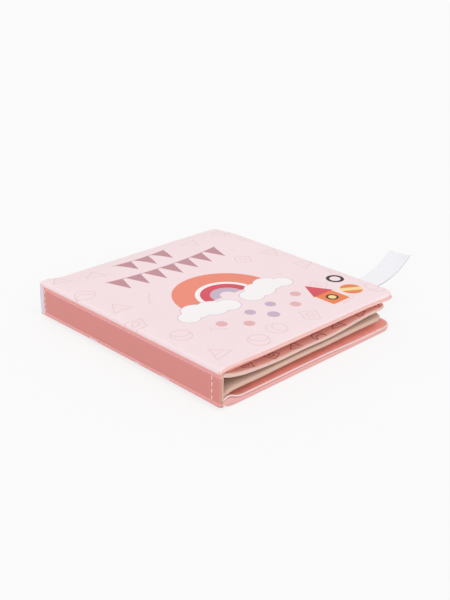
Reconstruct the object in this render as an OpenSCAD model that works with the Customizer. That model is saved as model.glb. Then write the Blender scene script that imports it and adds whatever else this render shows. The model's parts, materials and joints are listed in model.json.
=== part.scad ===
// Cloth crinkle book, closed and lying on its back cover. Two padded covers turn on
// the stitched creases of a spine band, and one double sheet, folded at the spine,
// makes the two leaves between them. A folded ribbon is sewn in the fore edge seam.
// The origin is the middle of the back cover's underside. +X runs from the spine to
// the fore edge, +Y from the tail to the head of the book, and +Z up.

/* [Covers] */
// Length of the covers, from tail to head
cover_l = 160; // [120:1:220]
// Width of the covers, from the outside of the spine to the fore edge
cover_w = 150; // [120:1:210]
// Thickness of a padded cover
cover_t = 4; // [3:0.5:6]
// Thickness of the closed book
book_t = 25.4; // [24:0.1:40]
// Radius of the front cover's corner at the tail end of the fore edge
front_tail_r = 6.5; // [5:0.5:20]
// Radius of the back cover's corner at the tail end of the fore edge
back_tail_r = 8.5; // [5:0.5:20]
// Radius of the covers' corner at the head end of the fore edge
head_corner_r = 5; // [5:0.5:20]
// How far the front cover's top rounds down towards its crease
front_round_run = 5; // [3:0.5:15]
// How far the back cover's underside rises towards its crease
back_round_run = 13; // [3:0.5:25]

/* [Creases] */
// Thickness that is left where a cover is stitched flat at its crease
crease_t = 1.2; // [1.2:0.1:2]
// How far the lining falls back from a cover's inner face at the crease
crease_drop = 1; // [0.5:0.1:1.5]
// Distance over which the lining falls back
crease_taper = 8; // [6:0.5:12]
// Running gap between the spine and a cover at the crease
crease_gap = 0.3; // [0.2:0.05:0.5]

/* [Cloth and filling] */
// Thickness of the outer cloth and of the lining
cloth_t = 0.5; // [0.3:0.05:0.55]
// Height of the seam between cloth and lining above a cover's inner face
seam_h = 0.6; // [0.5:0.05:0.8]
// Distance from the crease to the edge of the foam pad
pad_start = 2.5; // [1.5:0.5:8]
// Thickness of the felt strip in the spine
strip_t = 0.8; // [0.5:0.1:1.5]
// Clearance between a filling and the cloth round it
layer_gap = 0.05; // [0.03:0.01:0.1]
// Radius of the spine band's outer edges at tail and head
spine_edge_r = 1; // [0.5:0.1:1.2]

/* [Leaves] */
// Length of the leaves, from tail to head
leaf_l = 157; // [110:1:218]
// Distance from the outside of the spine to the end of the front leaf
front_leaf_w = 145; // [100:1:208]
// Distance from the outside of the spine to the end of the back leaf
back_leaf_w = 142; // [100:1:208]
// Thickness of a leaf
leaf_t = 2; // [1.5:0.1:2.5]
// Thickness of the sheet where it lines the spine
lining_t = 0.8; // [0.6:0.1:1.2]
// Distance from the spine over which the sheet gains its thickness
leaf_swell = 6; // [4:0.5:12]
// Corner radius of the leaves
leaf_corner_r = 7; // [3:0.5:20]
// Inset of the sheet from the spine band's top and bottom edges
sheet_inset = 0.4; // [0.3:0.1:1]
// Free height under the back leaf
back_leaf_gap = 4.4; // [3:0.1:5]
// Free height between the two leaves where they come closest
leaf_gap = 2.5; // [1:0.1:3]
// Free height over the end of the front leaf
front_leaf_gap = 3.4; // [1:0.1:4]
// Run in which the front leaf sags from the spine
sag_run = 13.5; // [8:0.5:20]
// Run in which the back leaf climbs from the spine
climb_run = 3; // [2:0.5:6]
// Width of the stretch that curls up at the front leaf's end
curl_run = 61; // [30:1:80]
// Rise of the back leaf along its width
back_leaf_rise = 0.3; // [0:0.1:0.8]

/* [Crinkle film] */
// Thickness of the crinkle film
film_t = 0.2; // [0.1:0.05:0.3]
// Distance from the film's edges to the edges of its leaf
film_margin = 6; // [5:0.5:15]

/* [Ribbon tag] */
// Width of the ribbon
tag_w = 18; // [10:0.5:25]
// Length of the folded ribbon outside the seam
tag_l = 35; // [20:1:45]
// Thickness of the ribbon
ribbon_t = 0.35; // [0.25:0.05:0.5]
// Gap between the ribbon's two plies
ply_gap = 0.5; // [0.3:0.1:1]
// Radius in which the tag curls up
tag_bend_r = 41; // [30:1:80]
// Distance from the tail end of the cover to the middle of the tag
tag_from_tail = 21; // [20:0.5:90]

/* [Hidden] */

rim_facets = 16;
corner_facets = 40;
hair = 0.01;
station_t = 0.1;
arc_step = 18;
leaf_steps = 24;
tag_steps = 16;
fold_step = 30;

spine_x = -cover_w / 2;
crease_x = spine_x + crease_gap / 2;
panel_w = cover_w - crease_gap / 2;
spine_z0 = cover_t - crease_drop + crease_gap;
spine_z1 = book_t - spine_z0;
pocket_x = crease_x + cloth_t;
lining_x0 = pocket_x + strip_t + 2 * layer_gap;
lining_x1 = lining_x0 + lining_t;

root_x = lining_x1 - lining_t / 2;
front_root_z = spine_z1 - sheet_inset - lining_t / 2;
back_root_z = spine_z0 + sheet_inset + lining_t / 2;
back_rest_z = cover_t + back_leaf_gap + leaf_t / 2;
front_rest_z = back_rest_z + leaf_t + leaf_gap;
front_end_z = book_t - cover_t - front_leaf_gap - leaf_t / 2;
front_end_x = spine_x + front_leaf_w - leaf_t / 2;
back_end_x = spine_x + back_leaf_w - leaf_t / 2;
pocket_t = film_t + 2 * layer_gap;

tag_t = 2 * ribbon_t + ply_gap;
tag_turn = tag_l / (tag_bend_r * PI) * 180;

// 0 before a, 1 after b, and a smooth step between them
function ease(x, a, b) = let (s = max(0, min(1, (x - a) / (b - a)))) s * s * (3 - 2 * s);

// Middle line of the front leaf, which sags from the spine and curls up at its end
function front_mid(x) =
  let (
    sag = (front_root_z - front_rest_z) * exp(-(x - root_x) / sag_run),
    curl = (front_end_z - front_rest_z) * ease(x, front_end_x - curl_run, front_end_x)
  ) [x, front_rest_z + sag + curl];

// Middle line of the back leaf, which climbs from the spine and runs nearly level
function back_mid(x) =
  let (
    climb = (back_rest_z - back_root_z) * exp(-(x - root_x) / climb_run),
    rise = back_leaf_rise * ease(x, root_x, back_end_x)
  ) [x, back_rest_z - climb + rise];

function mid(front, x) = front ? front_mid(x) : back_mid(x);

// Point beside the middle line at x, at distance h along its normal
function beside(front, x, h) =
  let (
    slope = mid(front, x + hair) - mid(front, x - hair),
    normal = [-slope[1], slope[0]] / norm(slope)
  ) mid(front, x) + h * normal;

// Places along a leaf, closer together near the spine where it bends most
function places(a, b) = [for (i = [0:leaf_steps]) a + (b - a) * pow(i / leaf_steps, 2)];

function sheet_t(x) = lining_t + (leaf_t - lining_t) * ease(x, lining_x0, lining_x1 + leaf_swell);

// Section of one leaf between two places, as thick as the sheet or a given share of it
module leaf_strip(front, a, b, t = 0) {
  xs = places(a, b);
  half = [for (x = xs) (t > 0 ? t : sheet_t(x)) / 2];
  n = len(xs) - 1;
  polygon(concat(
    [for (i = [0:n]) beside(front, xs[i], half[i])],
    [for (i = [n:-1:0]) beside(front, xs[i], -half[i])]
  ));
}

// Turns a section in X and Z into a solid across the book
module across(width) {
  rotate([90, 0, 0]) linear_extrude(height = width, center = true) children();
}

// Plan of a leaf from the spine to its end, with rounded corners
module leaf_plan(leaf_w, margin) {
  x1 = spine_x + leaf_w - margin;
  half_l = leaf_l / 2 - margin;
  r = leaf_corner_r;
  translate([spine_x, -half_l]) square([x1 - r - spine_x, 2 * half_l]);
  translate([spine_x, r - half_l]) square([x1 - spine_x, 2 * (half_l - r)]);
  for (side = [-1, 1]) translate([x1 - r, side * (half_l - r)]) circle(r, $fn = corner_facets);
}

// One leaf with a rounded end, from the middle of the spine's lining
module leaf(front, leaf_w) {
  end_x = spine_x + leaf_w - leaf_t / 2;
  intersection() {
    across(leaf_l) {
      leaf_strip(front, root_x, end_x);
      translate(mid(front, end_x)) circle(leaf_t / 2, $fn = rim_facets);
      translate(mid(front, root_x)) circle(lining_t / 2, $fn = rim_facets);
    }
    linear_extrude(height = book_t) leaf_plan(leaf_w, 0);
  }
}

// Crinkle film inside a leaf, or the pocket that holds it
module film(front, leaf_w, t, grow) {
  margin = film_margin - grow;
  intersection() {
    across(leaf_l) leaf_strip(front, lining_x1 + leaf_swell - grow, spine_x + leaf_w - margin, t);
    linear_extrude(height = book_t) leaf_plan(leaf_w, margin);
  }
}

// Height of a cover's outer face at x from its crease, over its inner face
function outer_face(x, run) =
  let (
    low = crease_drop + crease_t,
    s = max(0, 1 - x / run)
  ) low + (cover_t - low) * sqrt(1 - s * s);

// Height of a cover's inner face at x from its crease
function inner_face(x) = crease_drop * max(0, 1 - x / crease_taper);

// Section of a cover across the book at x from its crease, smaller all round by inset
module cover_station(x, run, inset) {
  high = outer_face(x, run);
  low = inner_face(x);
  half = (high - low) / 2;
  for (side = [-1, 1])
    translate([x, side * (cover_l / 2 - half), (high + low) / 2])
      rotate([0, 90, 0]) cylinder(r = half - inset, h = station_t, $fn = rim_facets);
}

// Rounded corner of a cover at the fore edge
module cover_corner(side, corner_r, inset) {
  r = max(corner_r, cover_t);
  translate([panel_w - r, side * (cover_l / 2 - r), cover_t / 2])
    rotate_extrude($fn = corner_facets)
      translate([r - cover_t / 2, 0]) circle(cover_t / 2 - inset, $fn = rim_facets);
}

// Padded cover with its crease at x = 0, its inner face on z = 0 and its outer face up
module cover_form(run, tail_r, inset) {
  hull() {
    for (a = [0:arc_step:90]) cover_station(max(run * (1 - cos(a)), inset), run, inset);
    cover_station(crease_taper, run, inset);
    cover_corner(1, head_corner_r, inset);
    cover_corner(-1, tail_r, inset);
  }
}

// Everything on the lining's side of the seam round a cover
module lining_side() {
  across(2 * cover_l)
    polygon([
      [-cover_t, -cover_t], [2 * cover_w, -cover_t], [2 * cover_w, seam_h],
      [crease_taper, seam_h], [0, crease_drop + seam_h], [-cover_t, crease_drop + seam_h]
    ]);
}

module cover_cloth(run, tail_r) {
  difference() {
    cover_form(run, tail_r, 0);
    cover_form(run, tail_r, cloth_t);
    lining_side();
  }
}

module cover_lining(run, tail_r) {
  difference() {
    intersection() {
      cover_form(run, tail_r, 0);
      lining_side();
    }
    cover_form(run, tail_r, cloth_t);
  }
}

module cover_pad(run, tail_r) {
  intersection() {
    cover_form(run, tail_r, cloth_t + layer_gap);
    translate([pad_start, -cover_l / 2, 0]) cube([panel_w, cover_l, cover_t]);
  }
}

// Puts a cover's form in its place as the front cover or the back cover
module at_front() {
  translate([crease_x, 0, book_t - cover_t]) children();
}

module at_back() {
  translate([crease_x, 0, cover_t]) mirror([0, 0, 1]) children();
}

module front_cover_cloth() {
  color("#f6dfe0") at_front() cover_cloth(front_round_run, front_tail_r);
}

module front_cover_lining() {
  color("#e08a80") at_front() cover_lining(front_round_run, front_tail_r);
}

module front_cover_pad() {
  color("#f4f1ea") at_front() cover_pad(front_round_run, front_tail_r);
}

module back_cover_cloth() {
  color("#e0a79f") at_back() cover_cloth(back_round_run, back_tail_r);
}

module back_cover_lining() {
  color("#df8577") at_back() cover_lining(back_round_run, back_tail_r);
}

module back_cover_pad() {
  color("#f4f1ea") at_back() cover_pad(back_round_run, back_tail_r);
}

// Point on the tag's path at distance s from the seam, at height h over the path. The
// path is level inside the seam and curls up outside it.
function tag_at(s, h) =
  let (a = max(0, s) / (tag_bend_r * PI) * 180)
  [min(0, s) + (tag_bend_r - h) * sin(a), tag_bend_r - (tag_bend_r - h) * cos(a)];

// One side of the tag's section from the seam to the fold and back, at height h
function tag_side(h) =
  let (
    run = [for (i = [0:tag_steps]) -cover_t / 2 + (tag_l + cover_t / 2) * i / tag_steps],
    fold = tag_at(tag_l, 0)
  ) concat(
    [for (s = run) tag_at(s, -h)],
    [for (b = [fold_step:fold_step:180 - fold_step]) let (a = tag_turn - 90 + b) fold + h * [cos(a), sin(a)]],
    [for (i = [tag_steps:-1:0]) tag_at(run[i], h)]
  );

function reversed(list) = [for (i = [len(list) - 1:-1:0]) list[i]];

// Section of the folded ribbon: two plies that are open at the seam, cut to the rim
module tag_section() {
  difference() {
    polygon(concat(tag_side(tag_t / 2), reversed(tag_side(ply_gap / 2))));
    translate([-cover_t / 2, cover_t / 2 - seam_h])
      circle(cover_t / 2 + layer_gap, $fn = corner_facets);
  }
}

module ribbon_tag() {
  color("#f7f7f8")
    translate([cover_w / 2, tag_from_tail - cover_l / 2, book_t - cover_t + seam_h])
      across(tag_w) tag_section();
}

// Spine band, with its two outer edges rounded at tail and head
module spine_band() {
  r = spine_edge_r;
  x1 = pocket_x + strip_t + layer_gap;
  translate([0, 0, spine_z0]) linear_extrude(height = spine_z1 - spine_z0) intersection() {
    translate([crease_x, -cover_l / 2]) square([x1 - crease_x, cover_l]);
    hull() for (side = [-1, 1], x = [crease_x + r, crease_x + cover_t])
      translate([x, side * (cover_l / 2 - r)]) circle(r, $fn = corner_facets);
  }
}

module strip_block(gap) {
  inset = cloth_t + gap;
  translate([pocket_x + gap, inset - cover_l / 2, spine_z0 + inset])
    cube([strip_t + layer_gap - gap, cover_l - 2 * inset, spine_z1 - spine_z0 - 2 * inset]);
}

module spine_cloth() {
  color("#d68e84")
    difference() {
      spine_band();
      strip_block(0);
    }
}

module spine_strip() {
  color("#efe9df") strip_block(layer_gap);
}

// Double sheet: front leaf, lining of the spine and back leaf in one
module page_sheet() {
  color("#e9c3b4")
    difference() {
      union() {
        leaf(true, front_leaf_w);
        leaf(false, back_leaf_w);
        translate([lining_x0, -leaf_l / 2, back_root_z])
          cube([lining_t, leaf_l, front_root_z - back_root_z]);
      }
      film(true, front_leaf_w, pocket_t, layer_gap);
      film(false, back_leaf_w, pocket_t, layer_gap);
    }
}

module front_leaf_film() {
  color("#dfe3e6") film(true, front_leaf_w, film_t, 0);
}

module back_leaf_film() {
  color("#dfe3e6") film(false, back_leaf_w, film_t, 0);
}

front_cover_cloth();
front_cover_lining();
front_cover_pad();
ribbon_tag();
spine_cloth();
spine_strip();
page_sheet();
front_leaf_film();
back_leaf_film();
back_cover_cloth();
back_cover_lining();
back_cover_pad();
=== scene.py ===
import json
import math

import bmesh
import bpy
from bpy.props import FloatProperty, FloatVectorProperty, IntProperty, PointerProperty
from mathutils import Matrix, Vector, noise


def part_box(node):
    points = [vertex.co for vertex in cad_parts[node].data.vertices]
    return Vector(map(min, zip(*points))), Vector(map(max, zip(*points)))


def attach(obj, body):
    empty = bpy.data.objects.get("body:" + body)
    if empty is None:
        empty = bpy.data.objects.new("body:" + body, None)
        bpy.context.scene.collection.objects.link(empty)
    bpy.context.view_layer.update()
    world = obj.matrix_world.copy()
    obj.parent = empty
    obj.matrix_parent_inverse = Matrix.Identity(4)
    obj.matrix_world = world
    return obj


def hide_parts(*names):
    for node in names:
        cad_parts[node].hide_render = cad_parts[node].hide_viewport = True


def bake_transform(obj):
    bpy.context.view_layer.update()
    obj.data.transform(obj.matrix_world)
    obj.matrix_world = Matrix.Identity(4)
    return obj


bl_info = {
    "name": "Cloth Crinkle Book",
    "version": (1, 0, 0),
    "blender": (4, 5, 0),
    "location": "View3D > Sidebar > Crinkle Book",
    "description": "Dresses a cloth book's frame with padded covers, leaves, stitching and a ribbon tag",
    "category": "Object",
}

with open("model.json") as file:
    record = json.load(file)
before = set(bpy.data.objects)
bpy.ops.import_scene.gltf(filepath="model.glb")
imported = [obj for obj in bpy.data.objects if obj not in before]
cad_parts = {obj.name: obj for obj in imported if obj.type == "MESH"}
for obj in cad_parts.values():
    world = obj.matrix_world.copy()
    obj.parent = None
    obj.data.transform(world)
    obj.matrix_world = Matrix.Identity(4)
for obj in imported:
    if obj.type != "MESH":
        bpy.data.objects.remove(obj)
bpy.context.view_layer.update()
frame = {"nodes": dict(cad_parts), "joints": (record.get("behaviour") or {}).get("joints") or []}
MM = 0.001

# Places that the frame gives, in metres.
CASE_LOW, CASE_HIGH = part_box("front_cover_cloth")
SPINE_LOW, SPINE_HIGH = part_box("spine_cloth")
SHEET_LOW, SHEET_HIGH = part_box("page_sheet")
TAG_LOW, TAG_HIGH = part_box("ribbon_tag")
CREASE_X = CASE_LOW.x
FORE_X = CASE_HIGH.x
HALF_L = CASE_HIGH.y
BOOK_TOP = CASE_HIGH.z
FRONT_INNER_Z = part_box("front_cover_lining")[0].z
BACK_INNER_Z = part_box("back_cover_lining")[1].z
COVER_T = BOOK_TOP - FRONT_INNER_Z
HINGES = {joint["name"]: Vector(joint["pos_m"]) for joint in frame["joints"]}

# Distances of the spine's stitch rows from its ends and from its long edges.
SPINE_TAIL_STITCH = 6.3 * MM
SPINE_HEAD_STITCH = 5 * MM
SPINE_EDGE_STITCH = 1.6 * MM

# Camera of the photograph, from a fit to the book's outline in its 450 x 600 frame.
CAMERA_PLACE = Vector((-0.3882, -0.3956, 0.2636))
CAMERA_AZIMUTH = math.radians(-44.99)
CAMERA_ELEVATION = math.radians(24.09)
CAMERA_ROLL = math.radians(1.05)
CAMERA_LENS = 59.03


def linear(code, alpha=1.0):
    """Linear RGBA of an sRGB hex colour."""
    channels = [int(code[i:i + 2], 16) / 255 for i in (1, 3, 5)]
    curve = [c / 12.92 if c <= 0.04045 else ((c + 0.055) / 1.055) ** 2.4 for c in channels]
    return (*curve, alpha)


def ease(x, a, b):
    """0 before a, 1 after b and a smooth step between them."""
    s = max(0.0, min(1.0, (x - a) / (b - a)))
    return s * s * (3 - 2 * s)


def length_prop(name, text, value):
    """Length that the panel shows in the scene's unit."""
    return FloatProperty(name=name, description=text, default=value, unit="LENGTH", precision=5)


def colour_prop(name, text, code):
    """Colour that starts at an sRGB hex code."""
    return FloatVectorProperty(name=name, description=text, default=linear(code), subtype="COLOR", size=4)


class BookSizes(bpy.types.PropertyGroup):
    """Sizes of the cloth, the filling and the thread"""

    cloth_t: length_prop("Cloth", "Thickness of the cover cloth", 0.45 * MM)
    front_seam_h: length_prop("Front seam", "Height of the front rim seam over the inner face", 2.1 * MM)
    back_seam_h: length_prop("Back seam", "Height of the back rim seam over the inner face", 0.7 * MM)
    seam_band: length_prop("Seam band", "Width of the cloth that shows in the rim seam", 0.8 * MM)
    seam_r: length_prop("Seam edge", "Radius of the turned edge that stands out of the rim seam", 0.55 * MM)
    front_run: length_prop("Front nose", "Run in which the front cover rounds down to its crease", 5 * MM)
    back_run: length_prop("Back heel", "Run in which the back cover rises to its crease", 13 * MM)
    crease_taper: length_prop("Lining taper", "Run in which the lining falls back", 8 * MM)
    front_tail_r: length_prop("Front tail corner", "Radius of the front fore corner at the tail", 6.5 * MM)
    back_tail_r: length_prop("Back tail corner", "Radius of the back fore corner at the tail", 8.5 * MM)
    head_corner_r: length_prop("Head corner", "Radius of the fore corner at the head", 5 * MM)
    puff_cap: length_prop("Puff limit", "Furthest that the filling moves the cloth", 0.7 * MM)
    front_leaf_t: length_prop("Front leaf", "Thickness of the front leaf", 2.3 * MM)
    back_leaf_t: length_prop("Back leaf", "Thickness of the back leaf", 2.8 * MM)
    lining_t: length_prop("Spine lining", "Thickness of the sheet in the spine", 1.6 * MM)
    leaf_corner_r: length_prop("Leaf corner", "Corner radius of the leaves", 7 * MM)
    stitch_pitch: length_prop("Stitch pitch", "Distance from one stitch to the next", 3.6 * MM)
    stitch_r: length_prop("Thread", "Radius of the sewing thread", 0.34 * MM)
    across: IntProperty(name="Rows across", description="Rows of cloth over a cover's width", default=44)
    along: IntProperty(name="Rows along", description="Rows of cloth over a cover's length", default=48)


class BookColours(bpy.types.PropertyGroup):
    """Colours of the cloths, the print and the thread"""

    cover_pink: colour_prop("Cover pink", "Ground of the front cover's print", "#FDE7EA")
    motif_pink: colour_prop("Motif pink", "Faint outlines on the front cover", "#F4D5D7")
    rose: colour_prop("Dusty rose", "Pennants at the head of the front cover", "#C8929A")
    rose_pale: colour_prop("Pale rose", "Drops of the print", "#EDB9BB")
    coral: colour_prop("Coral", "Largest field of the print", "#F58F78")
    red: colour_prop("Red", "Narrow field of the print", "#DF4F5F")
    lilac: colour_prop("Lilac", "Cool field of the print", "#CDB8CC")
    cloud: colour_prop("White", "Clouds of the print", "#FFFBFB")
    orange: colour_prop("Orange", "Toy blocks of the print", "#F3854A")
    yellow: colour_prop("Yellow", "Small field of the print", "#FCE39A")
    ink: colour_prop("Dark ink", "Rings of the print", "#2A1A20")
    salmon: colour_prop("Salmon", "Spine band", "#E0908A")
    # Painted highlight: paler salmon for the spine band's edges past the stitches, as if lit where they turn
    # towards the covers.
    salmon_lit_edge: colour_prop("Spine lit edge", "Edges of the spine band, past its stitches", "#F3A8A6")
    back_salmon: colour_prop("Back salmon", "Outer cloth of the back cover", "#F3B8B3")
    lining: colour_prop("Lining", "Inside of the covers", "#FAA391")
    leaf_pink: colour_prop("Leaf pink", "Outer side of the leaves", "#FBC6B9")
    leaf_line: colour_prop("Leaf line", "Outlines on the leaves", "#BD7F7A")
    beige: colour_prop("Beige", "Inner side of the leaves", "#DFBFAE")
    # Painted shade: darker beige on the sheet's band side at the spine's ends, where it lies in the crevice
    # against the spine band.
    hem: colour_prop("Hem", "Sheet's band side at the spine's ends, darkened as painted shade", "#CFA18E")
    leaf_edge: colour_prop("Leaf edge", "Hems of the leaves", "#F0D1C6")
    front_seam: colour_prop("Front seam", "Turned edge of the front cover's rim seam", "#FACEC8")
    back_seam: colour_prop("Back seam", "Turned edge of the back cover's rim seam", "#FBDDDD")
    scrap: colour_prop("Seam allowance", "Cloth that shows at the ends of the spine", "#EADDEA")
    thread: colour_prop("Thread", "Sewing thread across the spine", "#F4C9C4")
    edge_thread: colour_prop("Edge thread", "Sewing thread along the spine's edges", "#F2BAB5")
    ribbon: colour_prop("Ribbon", "Satin ribbon of the tag", "#F6F6FA")
    foam: colour_prop("Foam", "Filling of the covers", "#F1EEE6")
    film: colour_prop("Film", "Crinkle film in the leaves", "#DCE2E6")
    floor: colour_prop("Floor", "Pale floor", "#FAFAFA")
    glow: colour_prop("Floor glow", "Light of the floor towards the camera", "#FCFCFC")


def sizes():
    """The scene's sizes."""
    return bpy.context.scene.crinkle_book_sizes


def colours():
    """The scene's colours."""
    return bpy.context.scene.crinkle_book_colours


def add_node(tree, kind, inputs=None, **settings):
    """Adds a shader node, sets its settings, and links or fills its inputs."""
    node = tree.nodes.new("ShaderNode" + kind)
    for key, value in settings.items():
        setattr(node, key, value)
    for key, value in (inputs or {}).items():
        if isinstance(value, bpy.types.NodeSocket):
            tree.links.new(value, node.inputs[key])
        else:
            node.inputs[key].default_value = value
    return node


def fill(node, values):
    """Sets the inputs of a node that no other node feeds."""
    for key, value in values.items():
        node.inputs[key].default_value = value


def calc(tree, operation, *values):
    """Result of a Math node."""
    return add_node(tree, "Math", dict(enumerate(values)), operation=operation).outputs[0]


def vector_calc(tree, operation, *values):
    """Vector that a Vector Math node gives."""
    return add_node(tree, "VectorMath", dict(enumerate(values)), operation=operation).outputs[0]


def scaled(tree, vector, factor):
    """Vector times a number."""
    return add_node(tree, "VectorMath", {0: vector, 3: factor}, operation="SCALE").outputs[0]


def parts_of(tree, vector):
    """X, Y and Z of a vector."""
    return add_node(tree, "SeparateXYZ", {0: vector}).outputs


def object_point(tree):
    """Point of the surface in Object coordinates."""
    return add_node(tree, "TexCoord").outputs["Object"]


def relief(tree, height, strength, depth, **inputs):
    """Normal of a surface with that height pattern."""
    values = {"Height": height, "Strength": strength, "Distance": depth, **inputs}
    return add_node(tree, "Bump", values).outputs[0]


def noise_pattern(tree, place, scale, detail, roughness=0.5):
    """Soft noise between 0 and 1."""
    values = {"Vector": place, "Scale": scale, "Detail": detail, "Roughness": roughness}
    return add_node(tree, "TexNoise", values).outputs[0]


def new_material(name):
    """Empty node material with its Principled shader and output linked."""
    material = bpy.data.materials.new(name)
    material.use_nodes = True
    tree = material.node_tree
    tree.nodes.clear()
    shader = add_node(tree, "BsdfPrincipled")
    output = add_node(tree, "OutputMaterial")
    tree.links.new(shader.outputs["BSDF"], output.inputs["Surface"])
    return material, tree, shader


PRINT_EDGE = 0.12 * MM


def disc_distance(tree, point, centre, radius):
    """Signed distance to a disc in the XY plane."""
    gap = add_node(tree, "VectorMath", {0: point, 1: centre}, operation="DISTANCE")
    return calc(tree, "SUBTRACT", gap.outputs["Value"], radius)


def polygon_distance(tree, point, centre, apothem, sides, turn=0.0):
    """Signed distance to a regular polygon in the XY plane."""
    offset = vector_calc(tree, "SUBTRACT", point, centre)
    reach = None
    for k in range(sides):
        angle = turn + 2 * math.pi * k / sides
        normal = (math.cos(angle), math.sin(angle), 0.0)
        side = add_node(tree, "VectorMath", {0: offset, 1: normal}, operation="DOT_PRODUCT")
        side = side.outputs["Value"]
        if reach is not None:
            side = calc(tree, "MAXIMUM", reach, side)
        reach = side
    return calc(tree, "SUBTRACT", reach, apothem)


def outline(tree, distance, width):
    """Distance to a line of that width along a shape's edge."""
    edge = calc(tree, "ABSOLUTE", distance)
    return calc(tree, "SUBTRACT", edge, width / 2)


def both(tree, first, second):
    """Distance to what two shapes share."""
    return calc(tree, "MAXIMUM", first, second)


def either(tree, first, second):
    """Distance to the nearer of two shapes."""
    return calc(tree, "MINIMUM", first, second)


def paint(tree, ground, distance, ink, edge=PRINT_EDGE):
    """Colour of the ground with a shape printed on it."""
    mask = add_node(
        tree, "MapRange", {"Value": distance, "From Min": edge, "From Max": -edge},
        interpolation_type="SMOOTHSTEP",
    ).outputs[0]
    return add_node(tree, "Mix", {0: mask, 6: ground, 7: ink}, data_type="RGBA").outputs[2]


def flat_point(tree):
    """Object coordinates with Z left out, for a print that lies on a cover."""
    return vector_calc(tree, "MULTIPLY", object_point(tree), (1.0, 1.0, 0.0))


MOTIF_PITCH = 27 * MM
MOTIF_LINE = 0.75 * MM
LEAF_MOTIF_PITCH = 19 * MM
LEAF_MOTIF_LINE = 0.85 * MM
LEAF_MOTIF_SHIFT = (0.0, 64.5 * MM, 0.0)


def motif_distance(tree, point, pitch=MOTIF_PITCH, line=MOTIF_LINE, drift_share=0.4):
    """Distance to outlines of balls, cones and blocks, one in each cell of a grid."""
    radius = 0.23 * pitch
    cells = scaled(tree, point, 1 / pitch)
    cell = vector_calc(tree, "FLOOR", cells)
    chance = add_node(tree, "TexWhiteNoise", {"Vector": cell}, noise_dimensions="3D")
    local = vector_calc(tree, "SUBTRACT", cells, cell)
    centred = vector_calc(tree, "SUBTRACT", local, (0.5, 0.5, 0.0))
    drift = vector_calc(tree, "ADD", chance.outputs["Color"], (-0.5, -0.5, 0.0))
    drift = vector_calc(tree, "MULTIPLY", drift, (drift_share, drift_share, 0.0))
    spot = scaled(tree, vector_calc(tree, "SUBTRACT", centred, drift), pitch)
    turn = calc(tree, "MULTIPLY", chance.outputs["Value"], 2 * math.pi)
    spot = add_node(tree, "VectorRotate", {"Vector": spot, "Angle": turn}, rotation_type="Z_AXIS")
    spot = spot.outputs[0]

    origin = (0.0, 0.0, 0.0)
    ball = outline(tree, disc_distance(tree, spot, origin, radius), line)
    arc = disc_distance(tree, spot, (0.6 * radius, 0.2 * radius, 0.0), 0.9 * radius)
    inside = disc_distance(tree, spot, origin, radius)
    ball = either(tree, ball, both(tree, outline(tree, arc, line), inside))

    cone = polygon_distance(tree, spot, origin, 0.6 * radius, 3, math.pi / 6)
    rows = parts_of(tree, spot)[1]
    rows = calc(tree, "PINGPONG", rows, 0.45 * radius)
    rows = calc(tree, "SUBTRACT", rows, line / 3)
    cone = either(tree, outline(tree, cone, line), both(tree, rows, cone))

    block = box_distance(tree, spot, origin, 0.8 * radius, 0.8 * radius)
    window = outline(tree, disc_distance(tree, spot, origin, 0.35 * radius), line)
    block = either(tree, outline(tree, block, line), window)

    pick = add_node(tree, "SeparateColor", {0: chance.outputs["Color"]}).outputs[2]
    first = calc(tree, "GREATER_THAN", pick, 0.36)
    second = calc(tree, "GREATER_THAN", pick, 0.68)
    shape = add_node(tree, "Mix", {0: first, 2: ball, 3: cone}, data_type="FLOAT").outputs[0]
    return add_node(tree, "Mix", {0: second, 2: shape, 3: block}, data_type="FLOAT").outputs[0]


# Garlands of pennants: middle of the string, half its span, its height, sag, pennant pitch and drop.
GARLANDS = (
    (-5 * MM, 22 * MM, 68 * MM, 2 * MM, 14.6 * MM, 16 * MM),
    (-2.5 * MM, 46.5 * MM, 47.5 * MM, 4 * MM, 13.3 * MM, 16 * MM),
)
STRING_W = 0.8 * MM
PENNANT_SHARE = 0.42


def garland_distances(tree, point, middle, half_span, height, sag, pitch, drop):
    """Distances to a sagging string and to the pennants that hang from it."""
    across, up, _ = parts_of(tree, point)
    x = calc(tree, "SUBTRACT", across, middle)
    share = calc(tree, "DIVIDE", x, half_span)
    bow = calc(tree, "MULTIPLY", share, share)
    line = calc(tree, "MULTIPLY_ADD", bow, sag, height - sag)
    down = calc(tree, "SUBTRACT", line, up)
    span = calc(tree, "SUBTRACT", calc(tree, "ABSOLUTE", x), half_span)
    string = both(tree, outline(tree, down, STRING_W), span)
    side = calc(tree, "PINGPONG", x, pitch / 2)
    half_width = PENNANT_SHARE * pitch
    width = calc(tree, "MULTIPLY_ADD", down, -half_width / drop, half_width)
    pennant = calc(tree, "SUBTRACT", side, width)
    above = calc(tree, "MULTIPLY", down, -1.0)
    pennant = both(tree, both(tree, pennant, above), span)
    return string, pennant


# Rainbow: outer and inner radius of each band.
RAINBOW_AT = (-6 * MM, -16 * MM, 0.0)
RAINBOW_BANDS = (
    ("coral", 34 * MM, 20 * MM),
    ("cloud", 20 * MM, 17 * MM),
    ("red", 17 * MM, 11 * MM),
    ("lilac", 11 * MM, 5 * MM),
)
CLOUDS = (
    (-36, -20, 9), (-26, -23, 9.5), (-45, -24, 6.5), (-16, -26, 7.5),
    (24, -20, 9), (14, -23, 9.5), (33, -24, 6.5), (4, -26, 7.5),
)
PINK_DROPS = ((-37, -42, 3.4), (-25, -52, 3.4), (14, -52, 3.4), (25, -42, 3.4))
LILAC_DROPS = ((-14, -42, 3.4), (-6, -53, 3.8), (3, -42, 3.4))


def box_distance(tree, point, centre, half_x, half_y):
    """Signed distance to an upright rectangle in the XY plane."""
    offset = vector_calc(tree, "SUBTRACT", point, centre)
    offset = vector_calc(tree, "ABSOLUTE", offset)
    offset = vector_calc(tree, "SUBTRACT", offset, (half_x, half_y, 0.0))
    return both(tree, *parts_of(tree, offset)[:2])


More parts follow.
